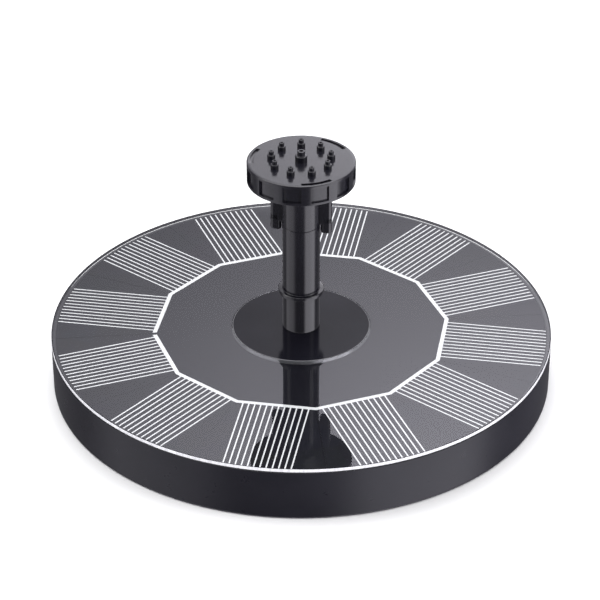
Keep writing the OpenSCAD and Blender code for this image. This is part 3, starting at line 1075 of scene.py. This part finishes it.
class FOUNTAIN_OT_clear_cover(bpy.types.Operator):
    """Clear cover of the panel with its bright cut edge"""

    bl_idname = "fountain.clear_cover"
    bl_label = "Clear cover"
    bl_options = {"REGISTER", "UNDO"}

    def execute(self, context):
        scene = context.scene
        sizes = scene.fountain_float
        radius = span("panel_cover", 0)[1]
        low, high = span("panel_cover", 2)
        low += 0.02
        edge = sizes.cover_round / MM
        seam = radius - 0.35
        cover = turned(
            "clear_cover",
            rounded(
                [
                    (HUB_OPENING, low),
                    (seam, low),
                    (seam, high),
                    (HUB_OPENING + 0.05, high),
                    (HUB_OPENING, high - 0.05),
                ]
            ),
            facets=sizes.facets,
        )
        strip = turned(
            "edge_strip",
            rounded(
                [
                    (seam + 0.01, low),
                    (radius, low, 0.05),
                    (radius, high, edge),
                    (seam + 0.01, high),
                ]
            ),
            facets=sizes.facets,
        )
        coat(
            cover,
            clear_sheet("clear_cover_top"),
            cut_edge("cut_edge"),
            see_through("bonded_face"),
            backing_film("edge_shade", scene.fountain_finish.cell_black),
        )
        join(cover, strip)
        polish(cover, 20.0)
        flat = 0.97

        def on_seam(at):
            return abs(radius_of(at) - seam) < 0.008

        def bonded(at, normal):
            return normal.z < -flat or (on_seam(at) and outward(at, normal))

        def shaded(at, normal):
            top = radius_of(at) > seam and normal.z > flat
            return top or (on_seam(at) and not outward(at, normal))

        def sawn(at, normal):
            beyond = radius_of(at) > seam + 0.05
            return beyond and outward(at, normal) and abs(normal.z) < flat

        paint_faces(cover, 2, bonded)
        paint_faces(cover, 3, shaded)
        paint_faces(cover, 1, sawn)
        fit(cover, "float", "clear_cover", "panel_cover")
        return {"FINISHED"}


class FOUNTAIN_OT_solar_field(bpy.types.Operator):
    """Cells, contact lines, ribbon and backing board under the cover"""

    bl_idname = "fountain.solar_field"
    bl_label = "Solar field"
    bl_options = {"REGISTER", "UNDO"}

    def execute(self, context):
        scene = context.scene
        look = scene.fountain_finish
        nodes = frame["nodes"]
        silver = silver_print("silver_print", look.print_silver)
        coat(nodes["cell_fingers"], silver)
        coat(nodes["ribbon_ring"], silver)
        coat(nodes["solar_cells"], silicon_cell("cell_black", look.cell_black))
        coat(nodes["backing_board"], backing_film("board_black", look.cell_black))
        return {"FINISHED"}


# ------------------------------------------------------------------ the outlet


class FOUNTAIN_OT_outlet_hub(bpy.types.Operator):
    """Centre disc with the outlet spigot"""

    bl_idname = "fountain.outlet_hub"
    bl_label = "Outlet hub"
    bl_options = {"REGISTER", "UNDO"}

    def execute(self, context):
        scene = context.scene
        radius = span("outlet_hub", 0)[1]
        low, high = span("outlet_hub", 2)
        disc = PANEL_TOP
        hub = turned(
            "outlet_disc",
            rounded(
                [
                    (3.7, low, 0.2),
                    (5.0, low, 0.3),
                    (5.0, DECK, 0.1),
                    (radius, DECK, 0.2),
                    (radius, disc, 0.12),
                    (SPIGOT_RADIUS, disc, 0.05),
                    (SPIGOT_RADIUS, disc + 6.6),
                    (4.85, disc + 6.8),
                    (4.85, disc + 7.6),
                    (SPIGOT_RADIUS, disc + 7.8),
                    (SPIGOT_RADIUS, high, 0.5),
                    (3.7, high, 0.25),
                ]
            ),
            facets=192,
        )
        polish(hub)
        look = scene.fountain_finish
        coat(
            hub,
            moulded_plastic(
                "hub_moulding",
                look.nozzle_black,
                rough=0.11,
                grain=0.000001,
                specular=0.12,
                wear=0.1,
                # The disc's rim gets the painted highlight line.
                rim=radius,
            ),
        )
        fit(hub, "float", "hub_plastic", "outlet_hub")
        return {"FINISHED"}


class FOUNTAIN_OT_riser_tube(bpy.types.Operator):
    """Riser tube with its socket, collar and top spigot"""

    bl_idname = "fountain.riser_tube"
    bl_label = "Riser tube"
    bl_options = {"REGISTER", "UNDO"}

    def execute(self, context):
        scene = context.scene
        low, high = span("riser_tube", 2)
        collar = PANEL_TOP + 12.5
        soft = scene.fountain_nozzle.edge_round / MM
        tube = turned(
            "riser_pipe",
            rounded(
                [
                    (SOCKET_RADIUS, low, 0.15),
                    (TUBE_RADIUS, low, soft),
                    (TUBE_RADIUS, collar, 0.2),
                    (7.35, collar, soft * 1.4),
                    (7.35, collar + 1.4, soft * 1.4),
                    (TUBE_RADIUS, collar + 1.4, 0.2),
                    (TUBE_RADIUS, SHOULDER, soft * 1.3),
                    (5.0, SHOULDER, 0.12),
                    (5.0, high, soft * 1.8),
                    (4.1, high, 0.2),
                    (4.1, PANEL_TOP + 11.6, 0.2),
                    (SOCKET_RADIUS, PANEL_TOP + 10.6, 0.2),
                ]
            ),
            facets=144,
        )
        polish(tube)
        look = scene.fountain_finish
        coat(
            tube,
            moulded_plastic(
                "gloss_moulding",
                look.nozzle_black,
                rough=0.17,
                grain=0.000003,
                specular=0.5,
                wear=0.3,
            ),
        )
        fit(tube, "riser", "nozzle_plastic", "riser_tube")
        return {"FINISHED"}


class FOUNTAIN_OT_nozzle_holder(bpy.types.Operator):
    """Nozzle holder with its bowl, rim and two wing fins"""

    bl_idname = "fountain.nozzle_holder"
    bl_label = "Nozzle holder"
    bl_options = {"REGISTER", "UNDO"}

    def execute(self, context):
        scene = context.scene
        soft = scene.fountain_nozzle.edge_round / MM
        low = span("nozzle_holder", 2)[0]
        foot = BARREL_FOOT
        cone = RIM_TOP - 8.2
        rim = RIM_TOP - 1.8
        holder = turned(
            "spray_holder",
            rounded(
                [
                    (5.05, foot, 0.15),
                    (TUBE_RADIUS, foot, soft),
                    (TUBE_RADIUS, cone, 1.2),
                    (13.1, rim - 0.2, 0.4),
                    (14.6, rim, soft),
                    (14.6, RIM_TOP, soft),
                    (13.5, RIM_TOP, 0.15),
                    (13.3, RIM_TOP - 0.4, 0.15),
                    (4.9, cone + 0.9, 0.4),
                    (4.3, cone + 0.2, 0.3),
                    (4.3, foot + 9.0, 0.1),
                    (5.05, foot + 8.3, 0.1),
                ]
            ),
            facets=144,
        )
        tip, half = 9.7, 1.3
        fin = block("fin", (5.0, -half, foot + 0.3), (tip, half, cone + 3.7), 1.1, 5)
        slide(fin, (0.0, 0.0, -3.4), lambda at: at.z / MM > cone and at.x / MM < 6.2)
        lobe_start = TUBE_RADIUS + 0.3
        lobe = block("lobe", (lobe_start, -half, low), (tip, half, foot + 4.0), 1.1, 5)
        join(fin, lobe)
        join(holder, *ring_of(fin, 2, -10.0))
        polish(holder)
        coat(holder, bpy.data.materials["gloss_moulding"])
        fit(holder, "holder", "nozzle_plastic", "nozzle_holder")
        return {"FINISHED"}


class FOUNTAIN_OT_spray_cap(bpy.types.Operator):
    """Spray cap with its grip pockets, arc slots and jet pegs"""

    bl_idname = "fountain.spray_cap"
    bl_label = "Spray cap"
    bl_options = {"REGISTER", "UNDO"}

    def execute(self, context):
        scene = context.scene
        settings = scene.fountain_nozzle
        soft = settings.edge_round / MM
        radius = span("spray_cap", 0)[1]
        low, top = CAP_LOW, CAP_TOP
        under = top - PLATE
        skirt = 14.95
        slot_in, slot_out = 14.7, 15.9
        cap = turned(
            "jet_cap",
            rounded(
                [
                    (skirt, low, 0.15),
                    (radius, low, soft),
                    (radius, low + 0.9),
                    (radius, top - 0.9),
                    (radius, top, soft * 1.2),
                    (slot_out, top),
                    (slot_in, top),
                    (0.6, top),
                    (0.6, under),
                    (skirt, under, 0.3),
                ]
            ),
            facets=240,
        )
        pick_faces(
            cap,
            lambda at, n: low + 0.95 < at.z / MM < top - 0.95
            and radius_of(at) > radius - 0.1
            and near_angle(at, -9.75, 30.0, 9.7),
        )
        bpy.ops.mesh.extrude_region_shrink_fatten(
            TRANSFORM_OT_shrink_fatten={"value": -settings.pocket_depth}
        )
        bpy.ops.object.mode_set(mode="OBJECT")
        pick_faces(
            cap,
            lambda at, n: n.z > 0.9
            and at.z / MM > top - 0.05
            and slot_in < radius_of(at) < slot_out
            and near_angle(at, -72.0, 120.0, 18.0),
        )
        bpy.ops.mesh.extrude_region_shrink_fatten(
            TRANSFORM_OT_shrink_fatten={"value": -settings.slot_depth}
        )
        bpy.ops.object.mode_set(mode="OBJECT")
        bore = turned(
            "bore",
            rounded(
                [
                    (0.2, under - 1.0),
                    (0.4, under - 1.0),
                    (0.4, top + 1.0),
                    (0.2, top + 1.0),
                ]
            ),
            24,
            PEG_RING,
            filled=True,
        )
        combine(cap, join(*ring_of(bore, settings.pegs, 90.0)), "DIFFERENCE")
        round_edges(cap, width=0.14, angle=40.0)
        catch = RIM_TOP - 2.75
        lug = block("lug", (14.7, -1.5, catch), (16.0, 1.5, catch + 0.7), 0.12)
        peg = turned(
            "peg",
            rounded(
                [
                    (0.4, top - 0.3),
                    (1.25, top - 0.3),
                    (1.25, top + 1.29, 0.18),
                    (0.8, top + 1.29, 0.08),
                    (0.8, top + 2.49, 0.16),
                    (0.4, top + 2.49, 0.08),
                ]
            ),
            36,
            PEG_RING,
        )
        middle = turned(
            "middle_peg",
            rounded(
                [
                    (0.6, top - 0.3),
                    (1.9, top - 0.3),
                    (1.9, top + 1.89, 0.22),
                    (1.2, top + 1.89, 0.1),
                    (1.2, top + 3.39, 0.2),
                    (0.6, top + 3.39, 0.1),
                ]
            ),
            48,
        )
        pegs = ring_of(peg, settings.pegs, 90.0)
        join(cap, middle, *pegs, *ring_of(lug, 4, 45.0))
        polish(cap)
        coat(cap, bpy.data.materials["gloss_moulding"])
        fit(cap, "cap", "nozzle_plastic", "spray_cap")
        return {"FINISHED"}


# ------------------------------------------------------------------ below


class FOUNTAIN_OT_filter(bpy.types.Operator):
    """Slotted filter cover and its sponge"""

    bl_idname = "fountain.filter"
    bl_label = "Filter"
    bl_options = {"REGISTER", "UNDO"}

    def execute(self, context):
        scene = context.scene
        radius = span("filter_cover", 0)[1]
        low, high = span("filter_cover", 2)
        face = low + 1.1
        cover = turned(
            "filter_plate",
            rounded(
                [
                    (0.3, low),
                    (19.2, low),
                    (19.5, low + 0.3),
                    (20.3, low + 0.3),
                    (20.6, low),
                    (radius, low, 0.4),
                    (radius, high, 0.25),
                    (radius - 1.2, high, 0.25),
                    (radius - 1.2, face, 0.3),
                    (0.3, face),
                ]
            ),
            facets=180,
            filled=True,
        )
        below, above = low - 1.0, face + 1.0
        slit = block("slit", (23.9, -0.7, below), (27.8, 0.7, above), 0.65, 4)
        grip = block("grip", (15.5, -5.0, below), (17.3, 5.0, above), 0.85, 4)
        combine(cover, join(*ring_of(slit, 36, 5.0)), "DIFFERENCE")
        for each in ring_of(grip, 2):
            combine(cover, each, "DIFFERENCE")
        polish(cover)
        look = scene.fountain_finish
        coat(
            cover,
            moulded_plastic(
                "filter_moulding",
                look.shell_black,
                rough=0.46,
                grain=0.00002,
                specular=0.3,
                wear=0.8,
            ),
        )
        fit(cover, "filter", "base_plastic", "filter_cover")
        foam = open_foam("filter_foam", (0.05, 0.055, 0.06))
        coat(frame["nodes"]["filter_sponge"], foam)
        return {"FINISHED"}


class FOUNTAIN_OT_pump_parts(bpy.types.Operator):
    """Finishes of the pump and motor parts in the well"""

    bl_idname = "fountain.pump_parts"
    bl_label = "Pump parts"
    bl_options = {"REGISTER", "UNDO"}

    def execute(self, context):
        grey = (0.030, 0.030, 0.034)
        housing = moulded_plastic(
            "pump_moulding", grey, rough=0.42, grain=0.00001, specular=0.4, wear=0.4
        )
        steel = bpy.data.materials["turned_steel"]
        graphite = glazed("graphite", (0.05, 0.05, 0.052), 0.55)
        rubber = soft_rubber("black_rubber", (0.012, 0.012, 0.012))
        packages = glazed("component_black", (0.016, 0.016, 0.017), 0.5)
        white = moulded_plastic(
            "white_plastic", (0.6, 0.6, 0.58), rough=0.4, grain=0.00001
        )
        ferrite = glazed("magnet_ferrite", (0.045, 0.045, 0.05), 0.5, depth=0.00003)
        finishes = {
            "foam_ring": open_foam("white_foam", (0.85, 0.85, 0.82), 900.0),
            "hub_gasket": rubber,
            "cover_seal": rubber,
            "pump_housing": housing,
            "impeller_cover": housing,
            "housing_screws": steel,
            "stator_core": laminated_steel("core_steel"),
            "stator_coils": wound_copper("copper_wire"),
            "driver_board": circuit_laminate("circuit_board"),
            "board_components": packages,
            "hall_sensor": packages,
            "lead_positive": soft_rubber("red_insulation", (0.45, 0.02, 0.015)),
            "lead_negative": soft_rubber("black_insulation", (0.015, 0.015, 0.015)),
            "resin_cap": glazed("potting_resin", (0.02, 0.02, 0.022), 0.12),
            "rotor_shaft": glazed("white_ceramic", (0.82, 0.82, 0.79), 0.12),
            "shaft_bush_top": graphite,
            "shaft_bush_bottom": graphite,
            "impeller": white,
            "rotor_magnet": ferrite,
        }
        for node, finish in finishes.items():
            coat(frame["nodes"][node], finish)
        return {"FINISHED"}


# ------------------------------------------------------------------ the studio


class FOUNTAIN_OT_stage(bpy.types.Operator):
    """Floor, soft lights, surroundings and camera"""

    bl_idname = "fountain.stage"
    bl_label = "Studio"
    bl_options = {"REGISTER", "UNDO"}

    def softbox(self, name, at, aim, size, watts):
        """A rectangular soft light, turned to what it lights."""
        start_clean()
        bpy.ops.object.light_add(type="AREA", location=at)
        lamp = bpy.context.object
        lamp.name = name
        lamp.data.shape = "RECTANGLE"
        lamp.data.size, lamp.data.size_y = size
        lamp.data.energy = watts
        turn = Vector(aim) - Vector(at)
        lamp.rotation_euler = turn.to_track_quat("-Z", "Y").to_euler()

    def execute(self, context):
        scene = context.scene
        studio = scene.fountain_studio
        start_clean()
        bpy.ops.mesh.primitive_grid_add(
            x_subdivisions=4, y_subdivisions=4, size=8.0, location=(0.0, 0.0, 0.0)
        )
        floor = bpy.context.object
        floor.name = "studio_floor"
        floor.visible_glossy = floor.visible_shadow = False
        f = Finish("studio_white")
        white = f.shine(Base_Color=(0.93, 0.93, 0.93), Roughness=0.9, specular=0.0)
        coat(floor, f.done(white))

        # The low pieces and the disc stay out of mirrored light, as the floor does,
        # so that the wall and the foot of the tube show the softboxes alone.
        for piece in bpy.data.objects:
            if piece.type == "MESH" and piece.bound_box[6][2] < (PANEL_TOP + 0.1) * MM:
                piece.visible_glossy = False
        bpy.data.objects["outlet_disc"].visible_glossy = False

        scene.world = self.surroundings()
        middle, tall = (0.0, 0.0, 0.04), (0.30, 0.5)
        top_at, right_at, left_at = (
            (-0.10, 0.10, 1.1),
            (0.66, -0.24, 0.45),
            (-0.70, -0.06, 0.45),
        )
        self.softbox("top_softbox", top_at, (0, 0, 0), (1.4, 1.4), studio.top_watts)
        self.softbox("right_softbox", right_at, middle, tall, studio.key_watts)
        self.softbox("left_softbox", left_at, middle, tall, studio.fill_watts)
        self.camera(scene, studio)
        return {"FINISHED"}

    def surroundings(self):
        """A dim room with two bright sides and a backdrop that lightens upwards."""
        w = Finish("surroundings", world=True)
        x, y, z = w.axes(w.node("ShaderNodeTexCoord", out="Generated"))
        # Angles round the room from its front, to the right and to the left
        turn = w.node("ShaderNodeMath", {"operation": "ARCTAN2"}, {0: x, 1: 0.0 - y})
        other = 0.0 - turn
        right = turn.ramp(0.25, 0.55) * (1.0 - turn.ramp(1.40, 1.75)) * 2.5
        left = other.ramp(0.50, 0.95) * (1.0 - other.ramp(1.62, 1.95)) * 0.95
        sides = (right + left) * (1.0 - z.ramp(0.25, 0.60))
        # The backdrop: brighter to the right, with a band low down and light above it
        across = 0.62 + x.ramp(-0.16, 0.10) * 1.40
        rising = ((z - 0.45) * 7.2).clamped() * 1.25
        band = z.ramp(0.25, 0.36) * (1.0 - z.ramp(0.482, 0.494)) * 1.45
        glow = 0.18 + sides + y.ramp(0.45, 0.75) * (rising + band) * across
        seen = w.node("ShaderNodeLightPath", out="Is Camera Ray")
        strength = glow * (1.0 - seen) + seen * 1.1
        sky = {"Color": (1.0, 0.985, 1.06), "Strength": strength}
        return w.done(w.node("ShaderNodeBackground", {}, sky))

    def camera(self, scene, studio):
        """The camera, a little above the float and aimed just over its middle."""
        angle, away = studio.height_angle, studio.distance
        eye = Vector((0.0, -math.cos(angle) * away, math.sin(angle) * away))
        start_clean()
        bpy.ops.object.camera_add(location=eye)
        camera = bpy.context.object
        camera.data.lens = studio.lens
        camera.data.sensor_width = 36.0
        tilt = angle - studio.aim_angle
        aside = -0.0005
        look = Vector((aside, math.cos(tilt), -math.sin(tilt)))
        camera.rotation_euler = look.to_track_quat("-Z", "Y").to_euler()
        camera.data.clip_start, camera.data.clip_end = 0.01, 50.0
        scene.camera = camera
        scene.view_settings.view_transform = "Standard"


# ------------------------------------------------------------------ add-on


MAKERS = (
    FOUNTAIN_OT_float_body,
    FOUNTAIN_OT_underside,
    FOUNTAIN_OT_clear_cover,
    FOUNTAIN_OT_solar_field,
    FOUNTAIN_OT_outlet_hub,
    FOUNTAIN_OT_riser_tube,
    FOUNTAIN_OT_nozzle_holder,
    FOUNTAIN_OT_spray_cap,
    FOUNTAIN_OT_filter,
    FOUNTAIN_OT_pump_parts,
    FOUNTAIN_OT_stage,
)


class FOUNTAIN_PT_build(bpy.types.Panel):
    """Lists the pieces of the fountain"""

    bl_idname = "FOUNTAIN_PT_build"
    bl_label = "Solar fountain pump"
    bl_space_type = "VIEW_3D"
    bl_region_type = "UI"
    bl_category = "Fountain"

    def draw(self, context):
        for maker in MAKERS:
            self.layout.operator(maker.bl_idname)
        for name in SETTINGS:
            group = getattr(context.scene, name)
            box = self.layout.box()
            for key in group.__annotations__:
                box.prop(group, key)


SETTINGS = {
    "fountain_float": FloatSettings,
    "fountain_nozzle": NozzleSettings,
    "fountain_finish": FinishSettings,
    "fountain_studio": StudioSettings,
}


def register():
    for kind in (*SETTINGS.values(), *MAKERS, FOUNTAIN_PT_build):
        bpy.utils.register_class(kind)
    for name, kind in SETTINGS.items():
        setattr(bpy.types.Scene, name, PointerProperty(type=kind))


def unregister():
    for name in SETTINGS:
        delattr(bpy.types.Scene, name)
    for kind in (FOUNTAIN_PT_build, *reversed(MAKERS), *SETTINGS.values()):
        bpy.utils.unregister_class(kind)


def main():
    """Makes every piece and the studio."""
    register()
    for maker in MAKERS:
        group, name = maker.bl_idname.split(".")
        if getattr(getattr(bpy.ops, group), name)() != {"FINISHED"}:
            raise RuntimeError(maker.bl_label + " was not finished")


if __name__ == "__main__":
    main()
